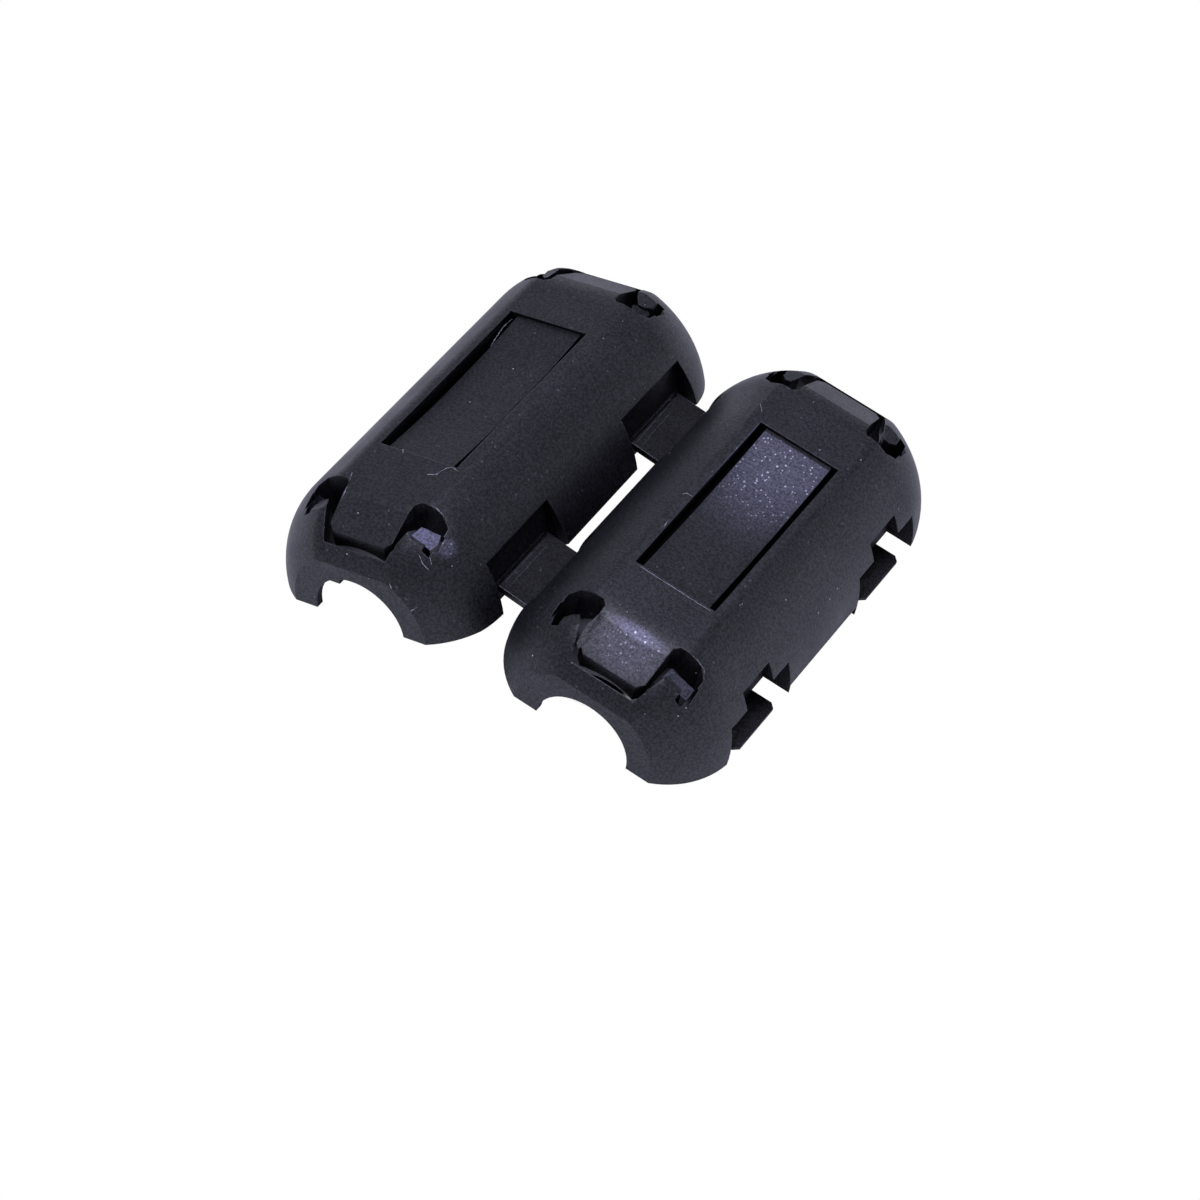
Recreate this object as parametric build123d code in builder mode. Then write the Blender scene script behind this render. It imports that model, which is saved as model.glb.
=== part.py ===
"""Clip-on ferrite bead, shown opened out on a table like a low tent.

Two plastic half shells, each holding half a ferrite tube, are joined along one
long side by two thin hinge straps. On the other long side two latch loops of the
left shell snap over two lugs of the right shell.

Each half is drawn in its own frame first: X across the bead with the hinge at +X,
Y along the cable, Z up from the parting plane. Then both halves are tilted so that
the loops and the lugs stand on the table. All sizes are millimetres.
"""
import os
from math import atan2, cos, degrees, radians, sin, sqrt

from build123d import *

os.makedirs("parts", exist_ok=True)

# Cable channel and ferrite
cable_radius = 3.5          # one round channel through end walls and ferrite
core_radius = 6.1
core_length = 28.0
core_edge_chamfer = 0.35
core_play = 0.05            # room between ferrite and shell, all round
cavity_radius = core_radius + core_play

# Shell outside
wall_thickness = 2.35       # around the ferrite
roof_thickness = 1.5        # between the ferrite and the flat top
shell_radius = cavity_radius + wall_thickness
flat_height = cavity_radius + roof_thickness
flat_edge_round = 1.3
shell_length = 33.1
shoulder_length = 5.45      # the round shoulder at each end
shoulder_width = 3.23
end_radius = shell_radius - shoulder_width
end_wall = 0.6
end_lip = 0.75              # the cavity is this much smaller than the end ring
end_pocket_radius = end_radius - end_lip

# Leaf spring in the flat top, fixed at both short ends
window_width = 6.2
window_length = 15.6
spring_slit = 0.52
spring_step = 0.25          # the spring starts this far below the flat
spring_dip = 0.6            # and dips this far in the middle
spring_thickness = roof_thickness - spring_dip

# Tongue at each end, cut free by a curled slot
tongue_half_width = 2.65
tongue_tip = 15.15
tongue_bend = 12.8
tongue_drop = 0.08          # how far the tip lies below the shoulder
curl_start = 11.7
curl_end = 13.1
curl_reach = 5.25
curl_tail = 14.35
curl_tail_inner = 4.5
slot_side = 0.4
slot_tip = 0.63
slot_depth = 3.6            # below the flat top, into the cavity
lip_inner = 3.2             # small facet between curl and end
lip_height = 6.98
lip_fall = 0.57             # how steeply it falls to the side

# Hinge side
notch_depth = 1.25
notch_height = 4.0
notch_near = 4.25
notch_far = 12.0
notch_draft = 0.3
hinge_inset = 0.9           # fold line, in from the shell's side
hinge_z = 1.4
strap_width = 5.9
strap_thickness = 0.5
strap_middle = 8.1
strap_roll = 23.5           # slope of the straps, measured in the left half
hinge_clearance = 0.05
parting_gap = 0.1           # between the halves when closed
notch_x = shell_radius - notch_depth
hinge_x = shell_radius - hinge_inset
strap_length = 2 * hinge_z + parting_gap

# Latch side
latch_middle = 8.1
lug_width = 4.8
lug_inset = 0.1             # lug face, in from the shell's side
lug_drop = 0.25             # straight outer face below the parting plane
lug_depth = 1.6             # down to the bottom of the lead-in slopes
lug_lead = 0.7
lug_root = 0.4              # how far the lug runs up into the wall
lug_corner = 0.35
edge_ease = 0.27            # slope on the parting edge between the lugs
edge_ease_height = 0.9
latch_clearance = 0.15      # between lug and loop, along the cable
latch_passing = 0.1         # between lug face and loop bar
loop_leg = 1.0
loop_leg_taper = 0.4
loop_depth = 2.8
loop_top = 1.0
loop_bar_top = 0.3
loop_shoulder = 0.9         # where the outside of the loop turns straight down
loop_thickness = 0.45
loop_reach = 1.1            # how far the legs run into the wall
pocket_height = 1.75
recess_wall = 0.35          # wall left between recess and cavity
recess_height = 3.15
recess_slot_height = 4.5
recess_slot_width = 3.25
recess_x = cavity_radius + recess_wall
lug_inner = cavity_radius + core_play
lug_face = shell_radius - lug_inset
loop_inner = lug_face + latch_passing
loop_outer = loop_inner + loop_thickness
loop_root = loop_inner - loop_reach

# Pose on the table
fold_angle = 20.2           # right half against left half, 0 would be flat

half_length = shell_length / 2
shoulder_start = half_length - shoulder_length
cavity_half_length = core_length / 2 + core_play
wall_inside = half_length - end_wall
past_the_shell = shell_radius + 2
pair = (1, -1)


def shoulder_drop(y):
    """How far the shoulder has come down at a place along the cable."""
    bend_radius = (shoulder_width**2 + shoulder_length**2) / (2 * shoulder_width)
    return bend_radius - sqrt(bend_radius**2 - (y - shoulder_start) ** 2)


def side_outline(reach):
    """Outline from the middle out to a straight side, with a round shoulder at each end."""
    end_reach = reach - shoulder_width
    with BuildSketch() as outline:
        with BuildLine():
            Line((reach, -shoulder_start), (reach, shoulder_start))
            TangentArc((reach, shoulder_start), (end_reach, half_length), tangent=(0, 1))
            Polyline((end_reach, half_length), (0, half_length), (0, -half_length), (end_reach, -half_length))
            TangentArc((reach, -shoulder_start), (end_reach, -half_length), tangent=(0, -1))
        make_face()
    return outline.sketch


def outside_body():
    """Half dome with a flat top, both coming down round at the ends."""
    upright = Plane(origin=(0, 0, 0), x_dir=(0, 0, 1), z_dir=(1, 0, 0))
    with BuildPart() as body:
        with BuildSketch(Plane.XY):
            add(side_outline(shell_radius))
        revolve(axis=Axis.Y, revolution_arc=-180)
        with BuildSketch(upright):
            add(side_outline(flat_height))
        extrude(amount=shell_radius, both=True, mode=Mode.INTERSECT)
        top = body.faces().sort_by(Axis.Z)[-3:]
        rims = top.edges().filter_by(lambda edge: abs(edge.center().X) > 1)
        fillet(rims, flat_edge_round)
    return body.part


def cavity():
    """Room for the ferrite, narrowing towards the thin end walls."""
    with BuildPart() as room:
        with BuildSketch(Plane.XY):
            with BuildLine():
                Polyline(
                    (0, wall_inside),
                    (end_pocket_radius, wall_inside),
                    (cavity_radius, cavity_half_length),
                    (cavity_radius, -cavity_half_length),
                    (end_pocket_radius, -wall_inside),
                    (0, -wall_inside),
                    close=True,
                )
            make_face()
        revolve(axis=Axis.Y)
    return room.part


def cable_channel():
    """Round channel through both end walls."""
    with BuildPart() as channel:
        Cylinder(cable_radius, shell_length + 2, rotation=(90, 0, 0))
    return channel.part


def leaf_spring():
    """Bowed strip that presses on the ferrite, tied to the roof at its short ends."""
    reach = window_length / 2 + 0.1
    end_top = flat_height - spring_step
    middle_top = flat_height - spring_dip
    with BuildPart() as spring:
        with BuildSketch(Plane.YZ):
            with BuildLine():
                ThreePointArc((-reach, end_top), (0, middle_top), (reach, end_top))
                Line((reach, end_top), (reach, end_top - spring_thickness))
                ThreePointArc(
                    (reach, end_top - spring_thickness),
                    (0, middle_top - spring_thickness),
                    (-reach, end_top - spring_thickness),
                )
                Line((-reach, end_top - spring_thickness), (-reach, end_top))
            make_face()
        extrude(amount=window_width / 2 - spring_slit, both=True)
    return spring.part


def tongue_slot():
    """Slot that frees the end tongue and curls outwards on both sides of its root."""
    outer_side = tongue_half_width + slot_side
    outer_tip = tongue_tip + slot_tip
    with BuildPart() as slot:
        with BuildSketch(Plane.XY.offset(flat_height - slot_depth)):
            with BuildLine():
                Polyline(
                    (tongue_half_width, curl_start + 0.35),
                    (tongue_half_width + 0.35, curl_start),
                    (curl_reach - 0.6, curl_start),
                    (curl_reach, curl_start + 0.5),
                    (curl_reach, curl_end + 0.1),
                    (curl_reach - 0.25, curl_tail),
                    (curl_tail_inner, curl_tail),
                    (curl_tail_inner + 0.05, curl_end + 0.5),
                    (curl_tail_inner - 0.35, curl_end + 0.1),
                    (outer_side + 0.7, curl_end),
                    (outer_side + 0.35, curl_end + 0.5),
                    (outer_side, tongue_tip - 0.7),
                    (tongue_half_width - 0.2, outer_tip),
                    (0, outer_tip),
                    (0, tongue_tip),
                    (tongue_half_width - 0.6, tongue_tip),
                    (tongue_half_width - 0.15, tongue_tip - 0.4),
                    close=True,
                )
            make_face()
            mirror(about=Plane.YZ)
        extrude(amount=2 * slot_depth)
        mirror(about=Plane.XZ)
    return slot.part


def tongue_relief():
    """Shaves the free part of each tongue down to a straight slope."""
    bend_height = flat_height - shoulder_drop(tongue_bend)
    tip_height = flat_height - shoulder_drop(tongue_tip) - tongue_drop
    past_tip = tongue_tip + slot_tip / 2
    with BuildPart() as relief:
        with BuildSketch(Plane.YZ):
            with BuildLine():
                Polyline(
                    (tongue_bend, bend_height),
                    (tongue_tip, tip_height),
                    (past_tip, tip_height),
                    (past_tip, flat_height),
                    (tongue_bend, flat_height),
                    close=True,
                )
            make_face()
        extrude(amount=tongue_half_width + slot_side / 2, both=True)
        mirror(about=Plane.XZ)
    return relief.part


def lip_facets():
    """Small facets on the land between each curl and the end of the shell."""
    lip_outer = curl_reach + 0.1
    with BuildPart() as facets:
        with BuildSketch(Plane.XZ.offset(-curl_end + 0.3)):
            with BuildLine():
                Polyline(
                    (lip_inner, lip_height),
                    (lip_outer, lip_height - lip_fall * (lip_outer - lip_inner)),
                    (lip_outer, flat_height),
                    (lip_inner, flat_height),
                    close=True,
                )
            make_face()
            mirror(about=Plane.YZ)
        extrude(amount=curl_end - 0.3 - curl_tail)
        mirror(about=Plane.XZ)
    return facets.part


def hinge_notches():
    """Two shallow notches where the straps lie when the bead is closed."""
    with BuildPart() as notches:
        with BuildSketch(Plane.YZ.offset(notch_x)):
            with BuildLine():
                Polyline(
                    (notch_near, -1),
                    (notch_near, 0),
                    (notch_near + notch_draft, notch_height),
                    (notch_far - notch_draft, notch_height),
                    (notch_far, 0),
                    (notch_far, -1),
                    close=True,
                )
            make_face()
        extrude(amount=past_the_shell - notch_x)
        mirror(about=Plane.XZ)
    return notches.part


def hinge_side_relief():
    """Rounds the parting edge about the fold line, so the halves can pass each other."""
    with BuildPart() as relief:
        with BuildSketch(Plane.XZ):
            with Locations((hinge_x, 0)):
                Rectangle(past_the_shell - hinge_x, hinge_z, align=(Align.MIN, Align.MIN))
            with Locations((hinge_x, hinge_z)):
                Circle(strap_length / 2 - hinge_clearance / 2, mode=Mode.SUBTRACT)
        extrude(amount=half_length, both=True)
    return relief.part


def strap_roots():
    """Stubs on the notch wall that the straps fold against."""
    half = strap_thickness / 2
    trim = half + hinge_clearance
    with BuildPart() as roots:
        with BuildSketch(Plane.XZ.offset(-strap_middle)):
            with Locations((notch_x, hinge_z)):
                Rectangle(2 * (hinge_x - notch_x), strap_thickness)
            with Locations((hinge_x, hinge_z - half)):
                Rectangle(2 * trim, strap_thickness, mode=Mode.SUBTRACT)
            with Locations((hinge_x, hinge_z)):
                Circle(trim, mode=Mode.SUBTRACT)
        extrude(amount=strap_width / 2, both=True)
        mirror(about=Plane.XZ)
    return roots.part


def shared_shell():
    """Everything the left and the right shell have in common."""
    with BuildPart() as shell:
        add(outside_body())
        add(cavity(), mode=Mode.SUBTRACT)
        add(cable_channel(), mode=Mode.SUBTRACT)
        with Locations((0, 0, flat_height)):
            Box(window_width, window_length, 2 * flat_height - 2 * core_radius, mode=Mode.SUBTRACT)
        add(leaf_spring())
        add(tongue_relief(), mode=Mode.SUBTRACT)
        add(lip_facets(), mode=Mode.SUBTRACT)
        add(tongue_slot(), mode=Mode.SUBTRACT)
        add(hinge_notches(), mode=Mode.SUBTRACT)
        add(hinge_side_relief(), mode=Mode.SUBTRACT)
        add(strap_roots())
    return shell.part


def lug_pockets():
    """Openings in the left wall that take the lugs when the bead is closed."""
    with BuildPart() as pockets:
        with Locations([(-past_the_shell, s * latch_middle, 0) for s in pair]):
            Box(
                2 * (past_the_shell - lug_inner + latch_clearance),
                lug_width + 2 * latch_clearance,
                2 * pocket_height,
            )
    return pockets.part


def latch_loops():
    """Two U-shaped loops that hang below the left parting plane."""
    inner = lug_width / 2 + latch_clearance
    outer = inner + loop_leg
    with BuildPart() as loops:
        with BuildSketch(Plane.XZ.offset(-latch_middle)):
            with BuildLine():
                Polyline(
                    (-loop_root, loop_top),
                    (-shell_radius + 0.12, loop_top),
                    (-shell_radius, 0),
                    (-loop_outer, -loop_shoulder),
                    (-loop_outer, -loop_depth + 0.2),
                    (-loop_outer + 0.2, -loop_depth),
                    (-loop_inner, -loop_depth),
                    (-loop_root, -loop_bar_top - 1.0),
                    close=True,
                )
            make_face()
        extrude(amount=outer, both=True)
        with BuildSketch(Plane.YZ.offset(-loop_outer - 1)):
            with Locations((latch_middle, -loop_depth / 2)):
                with BuildLine():
                    Polyline(
                        (-outer - 1, 3),
                        (-outer, 3),
                        (-outer, loop_depth / 2),
                        (-outer + loop_leg_taper, -loop_depth / 2),
                        (-outer + loop_leg_taper, -2),
                        (-outer - 1, -2),
                        close=True,
                    )
                make_face()
                mirror(about=Plane.YZ.offset(latch_middle))
        extrude(amount=3, mode=Mode.SUBTRACT)
        with Locations((-loop_root, latch_middle, 0)):
            Box(2 * loop_reach, 2 * inner, 4 * loop_depth, mode=Mode.SUBTRACT)
        with Locations((-loop_root, latch_middle, loop_depth - loop_bar_top)):
            Box(4 * loop_reach, 2 * inner, 2 * loop_depth, mode=Mode.SUBTRACT)
        mirror(about=Plane.XZ)
    return loops.part


def latch_recesses():
    """Stepped openings in the right wall around and above the lugs."""
    low_half = (notch_far - notch_near) / 2 - 0.05
    with BuildPart() as recesses:
        with BuildSketch(Plane.YZ.offset(-recess_x)):
            with BuildLine():
                Polyline(
                    (latch_middle - low_half, -1),
                    (latch_middle - low_half, 0),
                    (latch_middle - low_half + notch_draft, recess_height),
                    (latch_middle - recess_slot_width / 2, recess_height),
                    (latch_middle - recess_slot_width / 2, recess_slot_height),
                    (latch_middle + recess_slot_width / 2, recess_slot_height),
                    (latch_middle + recess_slot_width / 2, recess_height),
                    (latch_middle + low_half - notch_draft, recess_height),
                    (latch_middle + low_half, 0),
                    (latch_middle + low_half, -1),
                    close=True,
                )
            make_face()
        extrude(amount=-(past_the_shell - recess_x))
        mirror(about=Plane.XZ)
    return recesses.part


def eased_edge():
    """Slope along the right parting edge between the two lugs."""
    with BuildPart() as ease:
        with BuildSketch(Plane.XZ):
            with BuildLine():
                Polyline(
                    (-shell_radius + edge_ease, 0),
                    (-shell_radius, edge_ease_height),
                    (-past_the_shell, edge_ease_height),
                    (-past_the_shell, 0),
                    close=True,
                )
            make_face()
        extrude(amount=notch_near, both=True)
    return ease.part


def lug_outline(inset):
    """A lug seen from below, its two outer corners cut off."""
    reach = lug_face - inset
    with BuildSketch() as outline:
        with Locations((-(lug_inner + reach) / 2, latch_middle)):
            Rectangle(reach - lug_inner, lug_width - 2 * inset)
        corners = outline.vertices().group_by(Axis.X)[0]
        chamfer(corners, lug_corner)
    return outline.sketch


def latch_lugs():
    """Wedge lugs with a flat catch ledge level with the parting plane."""
    with BuildPart() as lugs:
        with BuildSketch(Plane.XY):
            add(lug_outline(0))
        extrude(amount=-lug_drop)
        with BuildSketch(Plane.XY.offset(-lug_drop)):
            add(lug_outline(0))
        with BuildSketch(Plane.XY.offset(-lug_depth)):
            add(lug_outline(lug_lead))
        loft(ruled=True)
        with Locations((-(lug_inner + recess_x) / 2, latch_middle, 0)):
            Box(recess_x - lug_inner, lug_width, 2 * lug_root)
        mirror(about=Plane.XZ)
    return lugs.part


def ferrite_half():
    """Half of the ferrite tube, edges broken at both ends."""
    with BuildPart() as core:
        Cylinder(core_radius, core_length, rotation=(90, 0, 0))
        chamfer(core.edges().filter_by(GeomType.CIRCLE), core_edge_chamfer)
        Cylinder(cable_radius, core_length + 2, rotation=(90, 0, 0), mode=Mode.SUBTRACT)
        split(bisect_by=Plane.XY)
    return core.part


def strap(side):
    """One hinge strap, lying from the left hinge line to the right hinge line."""
    with BuildPart() as piece:
        with BuildSketch(Plane.XZ.offset(-side * strap_middle)):
            with Locations(Location((hinge_x, hinge_z), -strap_roll)):
                with Locations((strap_length / 2, 0)):
                    SlotCenterToCenter(strap_length, strap_thickness)
        extrude(amount=strap_width / 2, both=True)
    return piece.part


# Where the right half sits, seen from the left half
far_hinge_x = hinge_x + strap_length * cos(radians(strap_roll))
far_hinge_z = hinge_z - strap_length * sin(radians(strap_roll))
fold = radians(fold_angle)
right_x = far_hinge_x + hinge_x * cos(fold) - hinge_z * sin(fold)
right_z = far_hinge_z - hinge_x * sin(fold) - hinge_z * cos(fold)

# Both halves stand on the table: loops on the left, lugs on the right
foot_left = (-loop_inner - 0.25, -loop_depth)
lug_toe = (lug_face - lug_lead, -lug_depth)
foot_right_x = right_x + lug_toe[0] * cos(fold) + lug_toe[1] * sin(fold)
foot_right_z = right_z - lug_toe[0] * sin(fold) + lug_toe[1] * cos(fold)
ground_slope = atan2(foot_left[1] - foot_right_z, foot_right_x - foot_left[0])
left_tilt = degrees(ground_slope)
foot_drop = foot_left[0] * sin(ground_slope) + foot_left[1] * cos(ground_slope)
foot_across = foot_left[0] * cos(ground_slope) - foot_left[1] * sin(ground_slope)
foot_right_across = foot_right_x * cos(ground_slope) - foot_right_z * sin(ground_slope)


def on_table(x, z):
    """A point of the left half's frame, carried to the table frame."""
    across = x * cos(ground_slope) - z * sin(ground_slope)
    up = x * sin(ground_slope) + z * cos(ground_slope)
    return across - middle_across, up - foot_drop


middle_across = 0
reach_left = on_table(-loop_outer, -loop_shoulder)[0]
reach_right = on_table(right_x, right_z)[0] + shell_radius
middle_across = (reach_left + reach_right) / 2

left_origin = on_table(0, 0)
right_origin = on_table(right_x, right_z)
left_hinge = on_table(hinge_x, hinge_z)
right_hinge = on_table(far_hinge_x, far_hinge_z)
left_place = Location((left_origin[0], 0, left_origin[1]), (0, -left_tilt, 0))
right_place = Location((right_origin[0], 0, right_origin[1]), (0, fold_angle - left_tilt, 0))

with BuildPart() as left_shell:
    with Locations(left_place):
        add(shared_shell())
        add(lug_pockets(), mode=Mode.SUBTRACT)
        add(latch_loops())
left_shell.part.label = "left_shell"

with BuildPart() as right_blank:
    add(shared_shell())
    add(latch_recesses(), mode=Mode.SUBTRACT)
    add(eased_edge(), mode=Mode.SUBTRACT)
    add(latch_lugs())

with BuildPart() as right_shell:
    with Locations(right_place):
        add(mirror(right_blank.part, about=Plane.YZ, mode=Mode.PRIVATE))
right_shell.part.label = "right_shell"

with BuildPart() as left_core:
    with Locations(left_place):
        add(ferrite_half())
left_core.part.label = "left_core"

with BuildPart() as right_core:
    with Locations(right_place):
        add(ferrite_half())
right_core.part.label = "right_core"

with BuildPart() as front_hinge_strap:
    with Locations(left_place):
        add(strap(-1))
front_hinge_strap.part.label = "front_hinge_strap"

with BuildPart() as rear_hinge_strap:
    with Locations(left_place):
        add(strap(1))
rear_hinge_strap.part.label = "rear_hinge_strap"

export_step(left_shell.part, "parts/left_shell.step")
export_step(right_shell.part, "parts/right_shell.step")
export_step(left_core.part, "parts/left_core.step")
export_step(right_core.part, "parts/right_core.step")
export_step(front_hinge_strap.part, "parts/front_hinge_strap.step")
export_step(rear_hinge_strap.part, "parts/rear_hinge_strap.step")

print("left tilt", round(left_tilt, 4), "right tilt", round(fold_angle - left_tilt, 4))
print("left origin", left_origin, "right origin", right_origin)
print("left hinge", left_hinge, "right hinge", right_hinge)
whole = [left_shell, right_shell, left_core, right_core, front_hinge_strap, rear_hinge_strap]
for piece in whole:
    box = piece.part.bounding_box()
    print(piece.part.label, "volume", round(piece.part.volume, 1), "solids", len(piece.part.solids()))
    print("   from", box.min, "to", box.max)
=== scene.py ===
# %% [markdown]
# # A clip-on ferrite bead, opened out
#
# Two black plastic half shells hold the halves of a ferrite tube. They are joined
# by two thin hinge straps and stand on the table like a low tent. The CAD model is
# the frame: its shells, straps and ferrite halves are all used as they are. This
# script gives them their materials, adds what is too small for CAD, lights them
# with a pale room and one soft box overhead, and looks from the photograph's place.

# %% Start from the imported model
import math
import random

import bmesh
import bpy
from mathutils import Matrix, Vector
from mathutils.bvhtree import BVHTree


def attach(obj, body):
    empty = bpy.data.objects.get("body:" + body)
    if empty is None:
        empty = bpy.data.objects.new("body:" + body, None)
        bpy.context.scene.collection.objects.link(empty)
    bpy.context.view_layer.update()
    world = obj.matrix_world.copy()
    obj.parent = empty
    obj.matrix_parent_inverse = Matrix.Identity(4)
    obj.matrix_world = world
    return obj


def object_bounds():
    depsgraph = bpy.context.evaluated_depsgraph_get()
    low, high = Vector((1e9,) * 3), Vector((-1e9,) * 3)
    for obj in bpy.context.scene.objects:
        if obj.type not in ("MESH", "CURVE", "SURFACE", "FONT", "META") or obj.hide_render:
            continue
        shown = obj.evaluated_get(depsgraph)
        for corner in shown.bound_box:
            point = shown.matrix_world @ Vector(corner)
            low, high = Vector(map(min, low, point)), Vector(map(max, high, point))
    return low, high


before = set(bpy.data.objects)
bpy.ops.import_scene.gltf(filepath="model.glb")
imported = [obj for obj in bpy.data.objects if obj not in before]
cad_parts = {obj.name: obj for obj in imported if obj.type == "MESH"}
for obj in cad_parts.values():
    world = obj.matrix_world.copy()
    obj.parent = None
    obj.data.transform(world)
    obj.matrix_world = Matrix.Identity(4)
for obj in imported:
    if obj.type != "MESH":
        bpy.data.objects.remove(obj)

cad_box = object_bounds()
MM = 0.001
print("nodes:", ", ".join(sorted(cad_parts)))

# %% [markdown]
# ## Colours and shader nodes
#
# Colours are written as the sRGB hex values that a colour picker shows, and one
# function turns them linear, which is what a shader works in.


# %% Colours
def linear(hex_colour):
    """An sRGB hex colour as linear RGBA."""
    channels = [int(hex_colour[i : i + 2], 16) / 255 for i in (1, 3, 5)]
    turned = [c / 12.92 if c <= 0.04045 else ((c + 0.055) / 1.055) ** 2.4 for c in channels]
    return (*turned, 1.0)


pure_white = (1, 1, 1, 1)
print("middle grey #808080 is", round(linear("#808080")[0], 3), "in linear light")

# %% [markdown]
# One function adds a shader node, with its settings and what goes into its sockets.
# The settings that come back often have a name. A colour mix has its share in socket
# 0, its two colours in sockets 6 and 7, and its result in output 2.

# %% Shader nodes
BLEND = {"data_type": "RGBA"}
PRODUCT = {"operation": "MULTIPLY"}
DIFFERENCE = {"operation": "SUBTRACT"}
LARGER = {"operation": "MAXIMUM"}
BELOW = {"operation": "LESS_THAN"}
SMOOTH = {"interpolation_type": "SMOOTHSTEP"}


def node(tree, kind, settings=None, sockets=None):
    """Adds a node; a socket takes a plain value, or (node, output) for a link."""
    made = tree.nodes.new(kind)
    for name, value in (settings or {}).items():
        setattr(made, name, value)
    for name, value in (sockets or {}).items():
        if isinstance(value, tuple) and isinstance(value[0], bpy.types.Node):
            tree.links.new(value[0].outputs[value[1]], made.inputs[name])
        else:
            made.inputs[name].default_value = value
    return made


def new_material(name):
    """An empty node material and its tree."""
    material = bpy.data.materials.new(name)
    material.use_nodes = True
    material.node_tree.nodes.clear()
    return material, material.node_tree


# %% [markdown]
# ## Camera
#
# The camera looks down on the bead from the front and the right, from 28 cm away
# through a long lens, so that lines that run back hardly draw together. The values
# are those at which the edges of the CAD model lie on the edges in the photograph.
# Azimuth 0 looks along the cable, and elevation is above the table.


# %% Camera at the photograph's place
def place_camera(aim, azimuth, elevation, roll, distance, lens):
    """A camera that looks at a point from a given side."""
    a, e, r = math.radians(azimuth), math.radians(elevation), math.radians(roll)
    back = Vector((math.sin(a) * math.cos(e), -math.cos(a) * math.cos(e), math.sin(e)))
    level = Vector((math.cos(a), math.sin(a), 0))
    upright = back.cross(level)
    right = level * math.cos(r) + upright * math.sin(r)
    up = upright * math.cos(r) - level * math.sin(r)
    data = bpy.data.cameras.new("photo_camera")
    data.lens = lens
    data.sensor_width = 36
    data.clip_start = 0.01
    camera = bpy.data.objects.new("photo_camera", data)
    turned = Matrix((right, up, back)).transposed().to_4x4()
    camera.matrix_world = Matrix.Translation(aim + back * distance) @ turned
    bpy.context.scene.collection.objects.link(camera)
    bpy.context.scene.camera = camera
    return camera


camera = place_camera(
    aim=Vector((3.989, -6.902, 5.0)) * MM,
    azimuth=32.101,
    elevation=45.83,
    roll=0.918,
    distance=280.94 * MM,
    lens=127.954,
)
print("camera height:", round(camera.matrix_world.translation.z / MM), "mm")

# %% [markdown]
# ## Places read from the photograph
#
# Burrs, dust and worn spots are too small to have a size in CAD, and each one lies
# where the photograph shows it. Their places are pixels of the 1200 x 1200 picture.
# A ray from the camera through the pixel meets the shell that carries the mark, so
# the mark sits on that surface from every side.

# %% From a pixel to a line of sight
picture_width = 1200


def sight_line(pixel):
    """The camera's place, and the direction from it through a pixel."""
    turned = camera.matrix_world
    per_pixel = camera.data.sensor_width / picture_width
    across = (pixel[0] - picture_width / 2) * per_pixel
    down = (pixel[1] - picture_width / 2) * per_pixel
    ray = turned.to_3x3() @ Vector((across, -down, -camera.data.lens))
    return turned.translation.copy(), ray.normalized()


# %% From a line of sight to a surface
surfaces = {}


def surface_at(carrier, pixel):
    """Place and normal of the first surface of a CAD node under a pixel."""
    if carrier not in surfaces:
        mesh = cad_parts[carrier].data
        surfaces[carrier] = BVHTree.FromPolygons(
            [v.co for v in mesh.vertices], [p.vertices for p in mesh.polygons]
        )
    place, normal, _, _ = surfaces[carrier].ray_cast(*sight_line(pixel))
    if place is None:
        raise ValueError(f"no surface of {carrier} under pixel {pixel}")
    return place, normal


left_top_pixel = (490, 400)
right_top_pixel = (715, 520)
left_flat = surface_at("left_shell", left_top_pixel)
right_flat = surface_at("right_shell", right_top_pixel)
print("left flat leans", round(math.degrees(left_flat[1].angle((0, 0, 1))), 1), "degrees")
print("right flat leans", round(math.degrees(right_flat[1].angle((0, 0, 1))), 1), "degrees")

# %% [markdown]
# A skin of flash bridges a slot, where a ray would fall through the gap. So it lies
# on a plane instead: a flat top, or the plane through three places on solid plastic
# around the slot.


# %% Planes
def plane_at(plane, pixel):
    """Place of a pixel on a plane, which is a place and a normal."""
    eye, ray = sight_line(pixel)
    distance = (plane[0] - eye).dot(plane[1]) / ray.dot(plane[1])
    return eye + ray * distance


def plane_through(carrier, pixels):
    """The plane through the surface at three pixels, facing the camera."""
    a, b, c = (surface_at(carrier, pixel)[0] for pixel in pixels)
    normal = (b - a).cross(c - a).normalized()
    facing = sight_line(pixels[0])[1].dot(normal)
    return a, -normal if facing > 0 else normal


# %% [markdown]
# ## Table
#
# The bead stands on a white table, which the camera sees as pure white. In the
# photograph the slots look black, because hardly any light gets under the bead.
# Here the camera would see the bright table through them, so the table turns dark in
# a soft oval patch under the near end of each half. A real shadow catcher would grey
# the table outside the bead as well, where the photograph is white. Each patch is
# drawn in the coordinates of its ferrite half, and moves with it when the bead closes.


# %% Oval mask
def oval_mask(tree, place, centre, reach, full=0.25):
    """1 in the middle of an oval patch, up to a share of its reach, falling to 0 at its rim."""
    offset = node(tree, "ShaderNodeVectorMath", DIFFERENCE, {0: place, 1: centre})
    scaled = node(tree, "ShaderNodeVectorMath", {"operation": "DIVIDE"}, {0: (offset, 0), 1: reach})
    length = node(tree, "ShaderNodeVectorMath", {"operation": "LENGTH"}, {0: (scaled, 0)})
    falling = {"Value": (length, "Value"), "From Min": full, "To Min": 1.0, "To Max": 0.0}
    return node(tree, "ShaderNodeMapRange", SMOOTH, falling)


# %% Table
table_width = 1.6
shade_centres = {
    "left_core": Vector((-13.4, -7.4, 0.0)) * MM,
    "right_core": Vector((5.0, -8.4, 0.0)) * MM,
}
shade_reach = Vector((4.4, 3.4, 1.0)) * MM
shade_full = 0.55


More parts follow.
